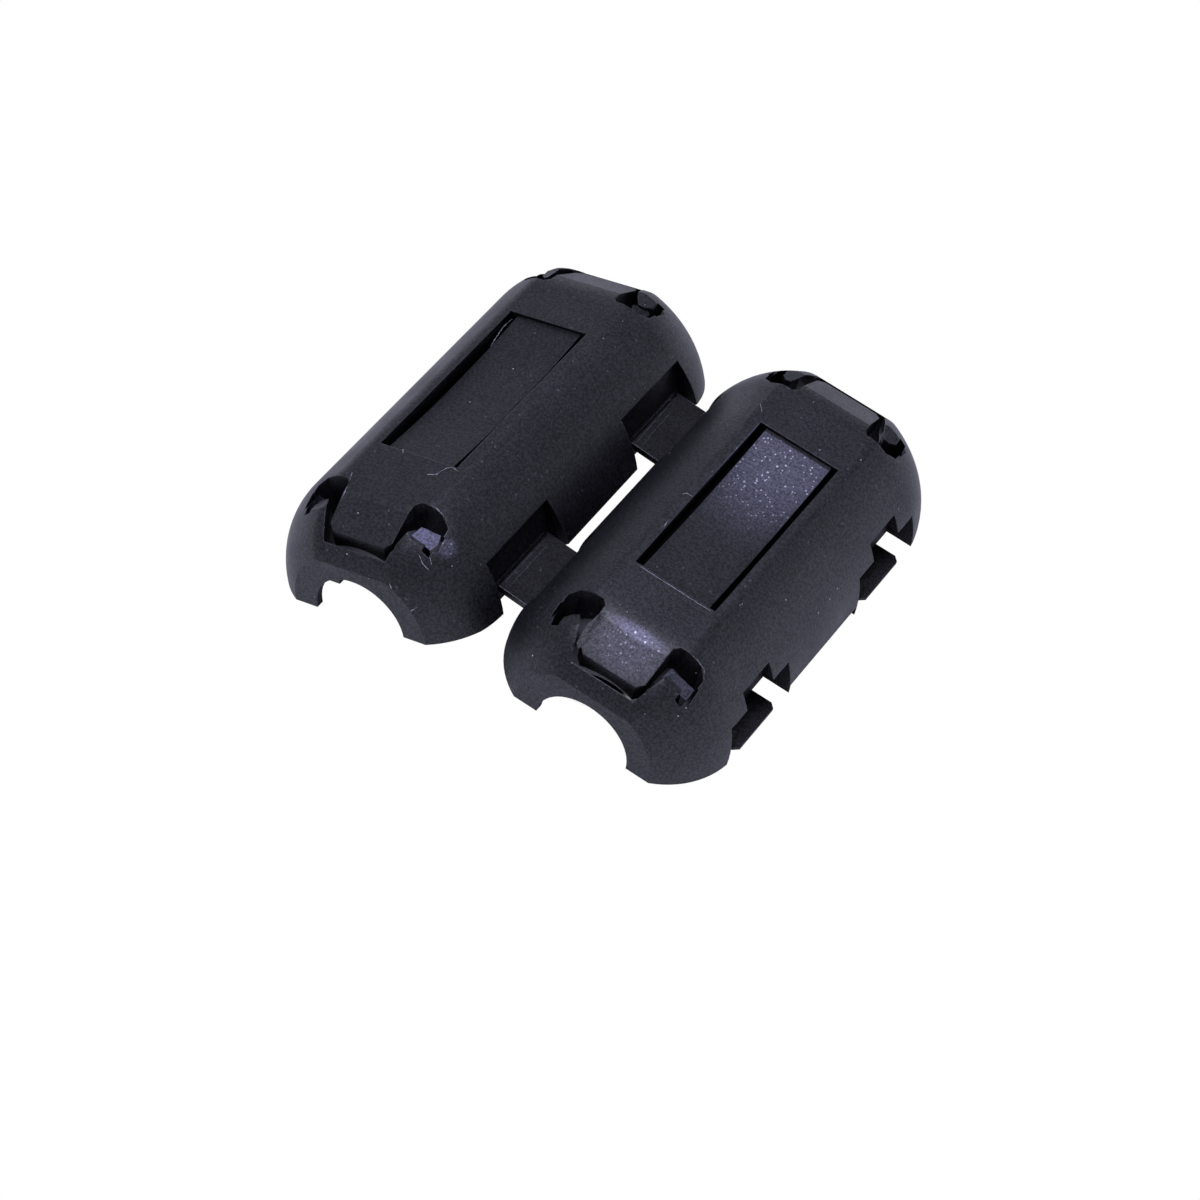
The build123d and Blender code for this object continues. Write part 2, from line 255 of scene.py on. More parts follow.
def white_table():
    """A flat white floor, with the shade patches dark to the camera only."""
    bpy.ops.mesh.primitive_plane_add(size=table_width)
    table = bpy.context.object
    table.name = "table"
    material, tree = new_material("white table")
    path = node(tree, "ShaderNodeLightPath")
    other_rays = node(tree, "ShaderNodeMath", DIFFERENCE, {0: 1.0, 1: (path, "Is Camera Ray")})
    greys = {0: (other_rays, 0), 6: linear("#08080a"), 7: linear("#f2f2f2")}
    colour = node(tree, "ShaderNodeMix", BLEND, greys)
    paper = node(tree, "ShaderNodeBsdfDiffuse", None, {"Color": (colour, 2)})
    glow = node(tree, "ShaderNodeEmission", None, {"Color": pure_white, "Strength": 1.0})
    white_share = (path, "Is Camera Ray")
    for core, centre in shade_centres.items():
        place = node(tree, "ShaderNodeTexCoord", {"object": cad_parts[core]})
        shade = oval_mask(tree, (place, "Object"), centre, shade_reach, shade_full)
        open_table = node(tree, "ShaderNodeMath", DIFFERENCE, {0: 1.0, 1: (shade, 0)})
        left_white = node(tree, "ShaderNodeMath", PRODUCT, {0: white_share, 1: (open_table, 0)})
        white_share = (left_white, 0)
    mixed = node(tree, "ShaderNodeMixShader", None, {0: white_share, 1: (paper, 0), 2: (glow, 0)})
    node(tree, "ShaderNodeOutputMaterial", None, {"Surface": (mixed, 0)})
    table.data.materials.append(material)
    return table


print("table is", white_table().dimensions.x, "m wide")

# %% [markdown]
# ## Light
#
# Black plastic shows its form by what it mirrors. Most of the light comes from the
# room, which is bright near the horizon, brightest behind the bead, and dims towards
# the zenith. That draws a pale sheen on the far ends and the round sides. The camera
# itself sees the room as pure white. One wide soft box, nearly overhead, lights the
# flat tops.

# %% Room
dim_from_height = 0.46


def white_room(horizon, overhead, behind):
    """Light that falls off with height: at 0.46, the sine of 27 degrees, it is at its overhead level."""
    world = bpy.data.worlds.new("white room")
    bpy.context.scene.world = world
    world.use_nodes = True
    tree = world.node_tree
    tree.nodes.clear()
    path = node(tree, "ShaderNodeLightPath")
    direction = node(tree, "ShaderNodeTexCoord")
    split = node(tree, "ShaderNodeSeparateXYZ", None, {0: (direction, "Generated")})
    front_to_back = {
        "Value": (split, "Y"),
        "From Min": -1.0,
        "To Min": horizon - behind,
        "To Max": horizon + behind,
    }
    low_down = node(tree, "ShaderNodeMapRange", None, front_to_back)
    low_to_high = {
        "Value": (split, "Z"),
        "From Max": dim_from_height,
        "To Min": (low_down, 0),
        "To Max": overhead,
    }
    brightness = node(tree, "ShaderNodeMapRange", SMOOTH, low_to_high)
    pale_blue = {"Color": linear("#ecedff"), "Strength": (brightness, 0)}
    room = node(tree, "ShaderNodeBackground", None, pale_blue)
    backdrop = node(tree, "ShaderNodeBackground", None, {"Color": pure_white, "Strength": 1.0})
    sockets = {0: (path, "Is Camera Ray"), 1: (room, 0), 2: (backdrop, 0)}
    mixed = node(tree, "ShaderNodeMixShader", None, sockets)
    node(tree, "ShaderNodeOutputWorld", None, {"Surface": (mixed, 0)})
    return world


bpy.context.scene.view_settings.view_transform = "Standard"
print("room:", white_room(horizon=1.05, overhead=0.25, behind=0.42).name)


# %% Soft box
def soft_box(name, place, aim, size, power, tint):
    """A square area light that faces a point."""
    data = bpy.data.lights.new(name, "AREA")
    data.shape = "SQUARE"
    data.size = size
    data.energy = power
    data.color = linear(tint)[:3]
    light = bpy.data.objects.new(name, data)
    light.location = place
    light.rotation_euler = (aim - place).to_track_quat("-Z", "Y").to_euler()
    bpy.context.scene.collection.objects.link(light)
    return light


overhead_box = soft_box(
    "soft box overhead",
    place=Vector((-0.01, -0.02, 0.42)),
    aim=Vector((0, 0, 0.005)),
    size=0.26,
    power=1.45,
    tint="#e4e4ff",
)
print("soft box height:", round(overhead_box.location.z, 2), "m")

# %% [markdown]
# ## Black plastic
#
# Both shells and the straps are one moulding of nylon filled with carbon black.
# The mould was spark eroded, which leaves a fine matt grain of about 0.1 mm, and a mottle of dull and
# shiny spots. Bare edges are painted a little paler: partly rubbed wear, partly a painted highlight where
# edges catch the light. Deep cuts are painted dark and their gloss is turned down, as painted shade.
# Where the plastic was bent, at the latch tongues and the spring leaves, it is stress-whitened and dusty,
# with a painted sheen and painted glints on top.
# Each of these is a mask that is 1 where it applies and 0 elsewhere. The masks are
# worked out from noise, edges and places on the solid, and not from a flat picture,
# so they need no unwrapping and hold from every side.

# %% Specks
smallest_speck = 0.4


def speck_mask(tree, place, per_mm, radius, share):
    """1 inside scattered round specks: cells to a millimetre, largest radius in cells, share of cells."""
    cells = node(tree, "ShaderNodeTexVoronoi", None, {"Vector": place, "Scale": per_mm / MM})
    split = node(tree, "ShaderNodeSeparateColor", None, {0: (cells, "Color")})
    kept = node(tree, "ShaderNodeMath", BELOW, {0: (split, 0), 1: share})
    radii = {"Value": (split, 1), "To Min": radius * smallest_speck, "To Max": radius}
    speck_radius = node(tree, "ShaderNodeMapRange", None, radii)
    inside = node(tree, "ShaderNodeMath", BELOW, {0: (cells, "Distance"), 1: (speck_radius, 0)})
    return node(tree, "ShaderNodeMath", PRODUCT, {0: (kept, 0), 1: (inside, 0)})


# %% Worn and highlit edges, and painted shade in cuts
edge_radius = 0.09 * MM
cut_depth = 1.3 * MM
mask_samples = 6


def worn_and_highlit_edge(tree):
    """A rounded normal, and 1 on sharp edges, where it turns away from the true one; there the edges are
    painted paler, as wear and painted highlight.
    """
    rounded = node(tree, "ShaderNodeBevel", {"samples": mask_samples}, {"Radius": edge_radius})
    flat = node(tree, "ShaderNodeNewGeometry")
    both = {0: (rounded, 0), 1: (flat, "Normal")}
    turned = node(tree, "ShaderNodeVectorMath", {"operation": "DOT_PRODUCT"}, both)
    agreement = {
        "Value": (turned, "Value"),
        "From Min": 0.86,
        "From Max": 0.985,
        "To Min": 1.0,
        "To Max": 0.0,
    }
    return rounded, node(tree, "ShaderNodeMapRange", None, agreement)


def free_of_cut_shade(tree):
    """1 on open faces, falling to 0 deep in the cuts, where shade is painted."""
    near_walls = {"samples": mask_samples, "only_local": True}
    shade = node(tree, "ShaderNodeAmbientOcclusion", near_walls, {"Distance": cut_depth})
    openness = {"Value": (shade, "AO"), "From Min": 0.45, "From Max": 0.9}
    return node(tree, "ShaderNodeMapRange", None, openness)


# %% [markdown]
# The whitened places, which also carry a painted sheen, are soft ovals: the bend and the face of the
# right half's near latch tongue, and the lip beside the left half's curled slot. The far end of the right
# spring leaf is whitened and painted with sheen too, and a rectangle between the leaf's corners keeps
# that on the leaf.

# %% Where the plastic is whitened and dusty, with painted sheen
tongue_bend_pixel = (638, 634)
tongue_face_pixel = (628, 650)
left_curl_side_pixel = (447, 548)
leaf_far_end_pixel = (795, 452)
leaf_far_corner_pixel = (835, 480)
leaf_near_corner_pixel = (638, 562)

tongue_bend = surface_at("right_shell", tongue_bend_pixel)[0]
tongue_face = surface_at("right_shell", tongue_face_pixel)[0]
left_curl_side = surface_at("left_shell", left_curl_side_pixel)[0]
whitening_and_sheen_ovals = (
    (tongue_bend, Vector((3.0, 0.75, 1.6)) * MM, 1.0),
    (tongue_face, Vector((3.4, 2.4, 2.4)) * MM, 0.30),
    (left_curl_side, Vector((0.9, 1.0, 0.9)) * MM, 0.35),
)
leaf_far_end = surface_at("right_shell", leaf_far_end_pixel)[0]
leaf_reach = Vector((7.0, 10.0, 6.0)) * MM
leaf_strength = 0.50
leaf_near_corner = plane_at(right_flat, leaf_near_corner_pixel)
leaf_far_corner = plane_at(right_flat, leaf_far_corner_pixel)
leaf_length = leaf_far_corner.y - leaf_near_corner.y
print("whitened places:", len(whitening_and_sheen_ovals) + 1, "leaf length:", round(leaf_length / MM, 1), "mm")


# %% How white the plastic is, and how much sheen is painted
def on_leaf(tree, where):
    """1 where a place lies between the two corners of the leaf, seen from above."""
    split = node(tree, "ShaderNodeSeparateXYZ", None, {0: where})
    within = []
    for axis in range(2):
        middle = (leaf_near_corner[axis] + leaf_far_corner[axis]) / 2
        half_width = (leaf_far_corner[axis] - leaf_near_corner[axis]) / 2
        sockets = {0: (split, axis), 1: middle, 2: half_width}
        within.append(node(tree, "ShaderNodeMath", {"operation": "COMPARE"}, sockets))
    return node(tree, "ShaderNodeMath", PRODUCT, {0: (within[0], 0), 1: (within[1], 0)})


def whitening_and_sheen(tree, where):
    """How white and dusty the plastic is at a place, and how much sheen is painted there."""
    leaf_oval = oval_mask(tree, where, leaf_far_end, leaf_reach)
    leaf_share = node(tree, "ShaderNodeMath", PRODUCT, {0: (leaf_oval, 0), 1: leaf_strength})
    leaf_only = {0: (leaf_share, 0), 1: (on_leaf(tree, where), 0)}
    total = node(tree, "ShaderNodeMath", PRODUCT, leaf_only)
    for centre, reach, strength in whitening_and_sheen_ovals:
        oval = oval_mask(tree, where, centre, reach)
        share = node(tree, "ShaderNodeMath", PRODUCT, {0: (oval, 0), 1: strength})
        total = node(tree, "ShaderNodeMath", LARGER, {0: (total, 0), 1: (share, 0)})
    return total


# %% [markdown]
# The colour is built up in layers: a black mottle, paler edges that are partly wear and partly a painted
# highlight, a grey-blue bloom with glitter where the plastic is whitened, which is also painted sheen and
# painted glints, a thin powder all over, and single grains of dust. Deep cuts are then painted dark, as
# painted shade. Powder and glitter are finer on the real bead, and are drawn as coarse as they need to be
# to show in the picture.


# %% Colour of the plastic
def black_with_worn_and_highlit_edges(tree, dark, light, spotted, smudges, edge):
    """The black mottle, with edges painted paler in places: partly rubbed wear, partly a painted
    highlight.
    """
    sockets = {0: (spotted, 0), 6: linear(dark), 7: linear(light)}
    mottled = node(tree, "ShaderNodeMix", BLEND, sockets)
    # Paler edges: partly rubbed wear, partly a painted highlight where edges catch the light.
    sockets = {"Value": (smudges, 0), "From Min": 0.35, "From Max": 0.65}
    in_places = node(tree, "ShaderNodeMapRange", None, sockets)
    worn_and_highlit = node(tree, "ShaderNodeMath", PRODUCT, {0: (edge, 0), 1: (in_places, 0)})
    sockets = {0: (worn_and_highlit, 0), 6: (mottled, 2), 7: linear("#4c4c58")}
    return node(tree, "ShaderNodeMix", BLEND, sockets)


def with_bloom_and_sheen(tree, colour, where, spotted):
    """The grey-blue bloom and glitter over a colour: partly whitening and dust, partly painted sheen and
    painted glints.
    """
    white = whitening_and_sheen(tree, where)
    patchy = node(tree, "ShaderNodeMapRange", None, {"Value": (spotted, 0), "To Min": 0.45})
    # Painted sheen and painted glints, over real whitening and dust.
    sheen_and_bloom_share = node(tree, "ShaderNodeMath", PRODUCT, {0: (white, 0), 1: (patchy, 0)})
    sockets = {0: (sheen_and_bloom_share, 0), 6: (colour, 2), 7: linear("#76768f")}
    sheen_and_bloom = node(tree, "ShaderNodeMix", BLEND, sockets)
    glitter = speck_mask(tree, where, per_mm=4.8, radius=0.40, share=0.26)
    sockets = {"Value": (white, 0), "From Min": 0.12, "From Max": 0.8}
    glittery = node(tree, "ShaderNodeMapRange", None, sockets)
    flecks = node(tree, "ShaderNodeMath", PRODUCT, {0: (glitter, 0), 1: (glittery, 0)})
    sockets = {0: (flecks, 0), 6: (sheen_and_bloom, 2), 7: linear("#f0f0ff")}
    return node(tree, "ShaderNodeMix", BLEND, sockets)


def with_dust(tree, colour, where):
    """A thin powder and single pale specks, over a colour."""
    powder = speck_mask(tree, where, per_mm=3.0, radius=0.30, share=0.08)
    faint = node(tree, "ShaderNodeMath", PRODUCT, {0: (powder, 0), 1: 0.12})
    sockets = {0: (faint, 0), 6: (colour, 2), 7: linear("#a4a4b4")}
    powdered = node(tree, "ShaderNodeMix", BLEND, sockets)
    specks = speck_mask(tree, where, per_mm=0.9, radius=0.06, share=0.2)
    sockets = {0: (specks, 0), 6: (powdered, 2), 7: linear("#c6c6c6")}
    return node(tree, "ShaderNodeMix", BLEND, sockets)


# %% [markdown]
# The shells are matt. The straps look smoother in the photograph, so their black is deeper and glossier.
# Nylon has an IOR of 1.53. Its gloss is turned down in the cuts as painted shade, and varies from spot to
# spot.


# %% Plastic
def black_plastic(name, dark, light, roughness, grain_depth):
    """Moulded nylon, black, with grain, mottle, worn edges, dark cuts and dust."""
    material, tree = new_material(name)
    coordinates = node(tree, "ShaderNodeTexCoord")
    where = (coordinates, "Object")
    sockets = {"Vector": where, "Scale": 0.3 / MM, "Detail": 3.0}
    smudges = node(tree, "ShaderNodeTexNoise", None, sockets)
    mottle = node(tree, "ShaderNodeTexNoise", None, {"Vector": where, "Scale": 6.0 / MM})
    sockets = {"Value": (mottle, 0), "From Min": 0.38, "From Max": 0.62}
    spotted = node(tree, "ShaderNodeMapRange", None, sockets)
    rounded, edge = worn_and_highlit_edge(tree)
    lit = free_of_cut_shade(tree)

    colour = black_with_worn_and_highlit_edges(tree, dark, light, spotted, smudges, edge)
    colour = with_bloom_and_sheen(tree, colour, where, spotted)
    colour = with_dust(tree, colour, where)
    # Painted shade: deep cuts turn near black.
    sockets = {0: (lit, 0), 6: linear("#030304"), 7: (colour, 2)}
    finished = node(tree, "ShaderNodeMix", BLEND, sockets)

    sockets = {
        "Value": (smudges, 0),
        "From Min": 0.3,
        "From Max": 0.7,
        "To Min": roughness + 0.05,
        "To Max": roughness - 0.05,
    }
    dull = node(tree, "ShaderNodeMapRange", None, sockets)
    # Painted shade too: gloss is turned down in the cuts.
    sockets = {"Value": (lit, 0), "To Min": 0.08, "To Max": 0.5}
    gloss = node(tree, "ShaderNodeMapRange", None, sockets)
    sockets = {"Value": (spotted, 0), "To Min": 0.8, "To Max": 1.25}
    uneven = node(tree, "ShaderNodeMapRange", None, sockets)
    sheen = node(tree, "ShaderNodeMath", PRODUCT, {0: (gloss, 0), 1: (uneven, 0)})
    grain = node(tree, "ShaderNodeTexNoise", None, {"Vector": where, "Scale": 9.0 / MM})
    sockets = {
        "Strength": 0.8,
        "Distance": grain_depth,
        "Height": (grain, 0),
        "Normal": (rounded, 0),
    }
    bumped = node(tree, "ShaderNodeBump", None, sockets)
    sockets = {
        "Base Color": (finished, 2),
        "Roughness": (dull, 0),
        "IOR": 1.53,
        "Specular IOR Level": (sheen, 0),
        "Normal": (bumped, 0),
    }
    surface = node(tree, "ShaderNodeBsdfPrincipled", None, sockets)
    node(tree, "ShaderNodeOutputMaterial", None, {"Surface": (surface, 0)})
    return material


shell_plastic = black_plastic("black moulded nylon", "#050508", "#181820", 0.45, 0.022 * MM)
strap_plastic = black_plastic("thin hinge plastic", "#040406", "#111117", 0.26, 0.010 * MM)
print("plastics:", shell_plastic.name, "and", strap_plastic.name)

# %% [markdown]
# ## Ferrite
#
# The core is a sintered ferrite: a dense dark grey ceramic, ground on its flat faces,
# with a dry fine grain and a few pores. Such an oxide has a high IOR, here 2.0. The
# photograph hardly shows the core, so its look is a typical one.


# %% Ferrite
def sintered_ferrite():
    """Dark grey ceramic with fine grain and pores."""
    material, tree = new_material("sintered ferrite")
    coordinates = node(tree, "ShaderNodeTexCoord")
    where = (coordinates, "Object")
    sockets = {"Vector": where, "Scale": 0.5 / MM, "Detail": 4.0}
    cloud = node(tree, "ShaderNodeTexNoise", None, sockets)
    sockets = {0: (cloud, 0), 6: linear("#232325"), 7: linear("#343437")}
    clouded = node(tree, "ShaderNodeMix", BLEND, sockets)
    pores = speck_mask(tree, where, per_mm=2.5, radius=0.22, share=0.3)
    sockets = {0: (pores, 0), 6: (clouded, 2), 7: linear("#0e0e0f")}
    pitted = node(tree, "ShaderNodeMix", BLEND, sockets)
    grain = node(tree, "ShaderNodeTexNoise", None, {"Vector": where, "Scale": 9.0 / MM})
    sockets = {"Strength": 0.5, "Distance": 0.008 * MM, "Height": (grain, 0)}
    bumped = node(tree, "ShaderNodeBump", None, sockets)
    sockets = {"Base Color": (pitted, 2), "Roughness": 0.62, "IOR": 2.0, "Normal": (bumped, 0)}
    surface = node(tree, "ShaderNodeBsdfPrincipled", None, sockets)
    node(tree, "ShaderNodeOutputMaterial", None, {"Surface": (surface, 0)})
    return material


ferrite = sintered_ferrite()
print("core:", ferrite.name)

# %% [markdown]
# ## Finishes on the CAD pieces
#
# Each CAD piece is one material through and through. Its mesh is left as it is, and
# only its material is set.

# %% Materials on the CAD pieces
finishes = {
    "left_shell": shell_plastic,
    "right_shell": shell_plastic,
    "front_hinge_strap": strap_plastic,
    "rear_hinge_strap": strap_plastic,
    "left_core": ferrite,
    "right_core": ferrite,
}
for name, material in finishes.items():
    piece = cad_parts[name]
    piece.data.materials.clear()
    piece.data.materials.append(material)
print("materials on", len(finishes), "CAD pieces")

# %% [markdown]
# ## Burrs, flash and dust
#
# Where the two halves of the mould met, and where a slot was cut in it, a little
# plastic has squeezed out: hair-thin burrs along the edges, and skins of flash that
# close a slot in part. A burr could be a curve with a round profile, but a mesh thread
# can be flatter than it is wide, uneven, and closed at both ends. It lies half sunk in
# the surface. All random numbers come from one seeded source, so every run gives the
# same marks.

# %% Thread
rng = random.Random(11)
thread_sides = 6
thin_end = 0.35
unevenness = (0.7, 1.25)


def thread(path, normals, width, height):
    """A closed thread along a path on a surface: it thins out at both ends."""
    corners, faces = [], []
    last = len(path) - 1
    for i, (place, normal) in enumerate(zip(path, normals)):
        along = (path[min(i + 1, last)] - path[max(i - 1, 0)]).normalized()
        across = along.cross(normal).normalized()
        swell = math.sin(math.pi * (i + 0.5) / (last + 1)) ** 0.5
        size = (thin_end + (1 - thin_end) * swell) * rng.uniform(*unevenness)
        for k in range(thread_sides):
            turn = 2 * math.pi * k / thread_sides
            sideways = across * (math.cos(turn) * width / 2 * size)
            outwards = normal * (math.sin(turn) * height * size)
            corners.append(place + sideways + outwards)
    for i in range(last):
        for k in range(thread_sides):
            a, b = i * thread_sides + k, i * thread_sides + (k + 1) % thread_sides
            faces.append((a, b, b + thread_sides, a + thread_sides))
    faces.append(tuple(range(thread_sides))[::-1])
    faces.append(tuple(last * thread_sides + k for k in range(thread_sides)))
    return corners, faces


# %% Burr
pixel_step = 3.0
wobble = 0.25


def burr(carrier, pixels, width, height, plane=None):
    """A thread along a line of pixels, on a surface or on a given plane; sizes in mm."""
    path, normals = [], []
    for first, second in zip(pixels, pixels[1:]):
        parts = max(1, round(math.dist(first, second) / pixel_step))
        for i in range(parts + (second == pixels[-1])):
            share = i / parts
            spot = tuple(
                a + (b - a) * share + rng.uniform(-wobble, wobble) for a, b in zip(first, second)
            )
            if plane:
                place, normal = plane_at(plane, spot), plane[1]
            else:
                place, normal = surface_at(carrier, spot)
            path.append(place)
            normals.append(normal)
    return thread(path, normals, width * MM, height * MM)


# %% [markdown]
# A skin of flash is a thin plate with a ragged outline, and a sheet of painted shade is drawn the same
# way. It stands level with its plane or a little above it and reaches further below it, so that its rim
# meets the walls of the slot. As a solid plate it looks right from both sides.


# %% Skin
def skin(pixels, plane, above, below, ragged=0.02):
    """A thin plate with a ragged outline, between pixels on a plane; sizes in mm."""
    rim = []
    for first, second in zip(pixels, pixels[1:] + pixels[:1]):
        parts = max(1, round(math.dist(first, second) / pixel_step))
        for i in range(parts):
            spot = tuple(a + (b - a) * i / parts for a, b in zip(first, second))
            shift = Vector([rng.uniform(-ragged, ragged) * MM for _ in range(3)])
            place = plane_at(plane, spot) + shift
            rim.append(place - plane[1] * (place - plane[0]).dot(plane[1]))
    count = len(rim)
    top = [place + plane[1] * above * MM for place in rim]
    bottom = [place - plane[1] * below * MM for place in rim]
    turning = sum(((a - rim[0]).cross(b - rim[0]) for a, b in zip(rim, rim[1:])), Vector())
    faces = [tuple(range(count)), tuple(range(2 * count - 1, count - 1, -1))]
    faces += [(k, k + count, (k + 1) % count + count, (k + 1) % count) for k in range(count)]
    if turning.dot(plane[1]) <= 0:
        faces = [face[::-1] for face in faces]
    return top + bottom, faces


def slit_skin(near, far, half_width, plane):
    """A skin that closes a straight slit between two pixels; the half width is in pixels."""
    length = math.dist(near, far)
    across = ((near[1] - far[1]) / length * half_width, (far[0] - near[0]) / length * half_width)
    outline = [
        (near[0] - across[0], near[1] - across[1]),
        (far[0] - across[0], far[1] - across[1]),
        (far[0] + across[0], far[1] + across[1]),
        (near[0] + across[0], near[1] + across[1]),
    ]
    return skin(outline, plane, above=0.0, below=0.3, ragged=0.004)


# %% [markdown]
# Dust could be scattered by a particle system, but the photograph shows where the
# larger grains lie. Each one is a ball of few faces with its corners moved at random.

# %% Grain of dust
lump_sizes = (0.7, 1.2)
flattening = 0.4
dust_radii = (0.025, 0.05)


def grain(carrier, pixel, radius):
    """A small lump of dust on a surface, a little flattened; its radius is in mm."""
    place, normal = surface_at(carrier, pixel)
    lump = bmesh.new()
    bmesh.ops.create_icosphere(lump, subdivisions=1, radius=radius * MM)
    corners = []
    for corner in lump.verts:
        offset = corner.co * rng.uniform(*lump_sizes)
        corners.append(place + offset - normal * offset.dot(normal) * flattening)
    faces = [tuple(v.index for v in face.verts) for face in lump.faces]
    lump.free()
    return corners, faces


# %% [markdown]
# The shapes of one kind on one half are joined to one piece, which rides on the body
# that carries it. None of them may reach past the CAD model's box, so that the
# dressed bead keeps its size.


# %% Piece
def add_piece(name, shapes, material, body):
    """Joins shapes into one piece that rides on a body and stays in the CAD model's box."""
    corners, faces = [], []
    for shape_corners, shape_faces in shapes:
        start = len(corners)
        for corner in shape_corners:
            corners.append([min(max(v, low), high) for v, low, high in zip(corner, *cad_box)])
        faces += [tuple(start + k for k in face) for face in shape_faces]
    mesh = bpy.data.meshes.new(name)
    mesh.from_pydata(corners, [], faces)
    mesh.update()
    mesh.materials.append(material)
    piece = bpy.data.objects.new(name, mesh)
    bpy.context.scene.collection.objects.link(piece)
    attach(piece, body)
    print(name, "has", len(shapes), "shapes and", len(faces), "faces")
    return piece


# %% [markdown]
# ## Finishes of the small pieces
#
# Thin flash lets light in and turns grey-white, and the same pale finish draws a painted highlight along
# one edge. The scuffed facets and the ridges of the straps are a darker grey. A skin of flash that fills
# a slot is as black as the shell, and so is a sheet of painted shade. Dust is pale and dry.


# %% Dry finishes
def dry_material(name, dark, light, roughness, per_mm):
    """A matt finish with a mottle between two greys."""
    material, tree = new_material(name)
    coordinates = node(tree, "ShaderNodeTexCoord")
    sockets = {"Vector": (coordinates, "Object"), "Scale": per_mm / MM}
    mottle = node(tree, "ShaderNodeTexNoise", None, sockets)
    sockets = {"Value": (mottle, 0), "From Min": 0.35, "From Max": 0.65}
    spotted = node(tree, "ShaderNodeMapRange", None, sockets)
    sockets = {0: (spotted, 0), 6: linear(dark), 7: linear(light)}
    colour = node(tree, "ShaderNodeMix", BLEND, sockets)
    sockets = {"Strength": 0.6, "Distance": 0.01 * MM, "Height": (mottle, 0)}
    bumped = node(tree, "ShaderNodeBump", None, sockets)
    sockets = {
        "Base Color": (colour, 2),
        "Roughness": roughness,
        "IOR": 1.53,
        "Normal": (bumped, 0),
    }
    surface = node(tree, "ShaderNodeBsdfPrincipled", None, sockets)
    node(tree, "ShaderNodeOutputMaterial", None, {"Surface": (surface, 0)})
    return material


# The pale finish also draws the painted highlight along the right leaf's near edge.
pale_flash_and_highlight = dry_material("stress-whitened flash and painted highlight", "#55555f", "#b4b4c0", 0.5, per_mm=4.0)
grey_flash = dry_material("thin grey flash", "#24242c", "#4a4a58", 0.45, per_mm=6.0)
worn_face = dry_material("scuffed facet", "#2c2c3a", "#64648a", 0.4, per_mm=6.0)
house_dust = dry_material("house dust", "#c4c4cc", "#f2f2f6", 0.9, per_mm=5.0)
print("dry finishes:", pale_flash_and_highlight.name, grey_flash.name, worn_face.name, house_dust.name, sep=", ")

# %% [markdown]
# ## Marks on the left half
#
# The right slit of the spring leaf is closed by flash except at its two ends. A skin also closes the
# outer near curl of the U-slot. A black sheet of painted shade lies 1 mm deep in the far curl, where the
# real slot is dark.

# %% Left half: flash, and a sheet of painted shade, in the slots
left_slit_near, left_slit_far = (461.5, 461.7), (577.0, 344.5)
left_slit_half_width = 2.6
left_curl_rim = ((299, 512), (318, 521), (303, 500))
left_curl_plane = plane_through("left_shell", left_curl_rim)
left_curl_skin = [(303, 516), (306, 502), (311, 494), (318, 495), (327, 501), (320, 511), (309, 519)]
# Painted shade: a black sheet 1 mm deep in the far curl.
far_curl_pixel = (638, 322)
far_place, far_normal = surface_at("left_shell", far_curl_pixel)
far_curl_plane = (far_place - far_normal * MM, far_normal)
far_curl_shade_sheet = [(633, 305), (646, 306), (650, 315), (641, 319), (632, 314)]
add_piece(
    "left_slit_flash_and_shade_sheet",
    [
        slit_skin(left_slit_near, left_slit_far, left_slit_half_width, left_flat),
        skin(left_curl_skin, left_curl_plane, above=0.0, below=0.2),
        skin(far_curl_shade_sheet, far_curl_plane, above=0.0, below=0.2),
    ],
    shell_plastic,
    "left_half",
)

# %% [markdown]
# A crack runs from the near corner of the spring leaf, and a hair of flash stands in
# its left slit. The rims of the curls have fine burrs, and the near foot is scratched.

# %% Left half: burrs and scratches
left_crack = [(427, 474.4), (436, 474.4), (441, 471), (446, 468.3), (452, 467), (458, 471)]
left_slit_hair = [(512, 319), (503, 327), (498, 335), (491, 346), (489, 354), (480, 363)]
inner_curl_burr = [(431, 505.5), (437, 508.5), (442, 514), (446, 524)]
outer_curl_burr = [(351.5, 474), (349.5, 481), (346, 489), (342, 498)]
bright_curl_burr = [(310, 494), (310.5, 499), (311, 504)]
foot_scratches = (
    [(419, 555), (423, 564), (429, 570)],
    [(430, 557), (431.5, 565)],
    [(389.5, 583.5), (391.5, 589)],
    [(410.7, 611), (416.8, 607.3)],
    [(404, 597), (407, 600)],
)
left_burrs = [
    burr("left_shell", left_crack, width=0.07, height=0.02),
    burr("left_shell", left_slit_hair, width=0.05, height=0.03, plane=left_flat),
    burr("left_shell", inner_curl_burr, width=0.05, height=0.02),
    burr("left_shell", outer_curl_burr, width=0.06, height=0.03),
    burr("left_shell", bright_curl_burr, width=0.12, height=0.05, plane=left_curl_plane),
]
left_burrs += [burr("left_shell", line, width=0.05, height=0.015) for line in foot_scratches]
add_piece("left_burrs", left_burrs, pale_flash_and_highlight, "left_half")

# %% Left half: scuffed lip and dust
left_lip_corners = ((404, 544), (448, 549), (430, 562))
left_lip_plane = plane_through("left_shell", left_lip_corners)
left_lip_facet = [(412, 535.5), (421.5, 527), (441, 536), (438, 545), (430, 551)]
left_facet = skin(left_lip_facet, left_lip_plane, above=0.02, below=0.12)
add_piece("left_lip_facet", [left_facet], worn_face, "left_half")

left_dust = [
    (492, 442), (495, 447), (513, 369), (573, 361), (403, 450), (403, 452), (413, 535),
    (352, 473), (389, 511), (358, 513), (452, 566), (535, 333), (470, 402),
]
left_grains = [grain("left_shell", pixel, rng.uniform(*dust_radii)) for pixel in left_dust]
add_piece("left_dust", left_grains, house_dust, "left_half")

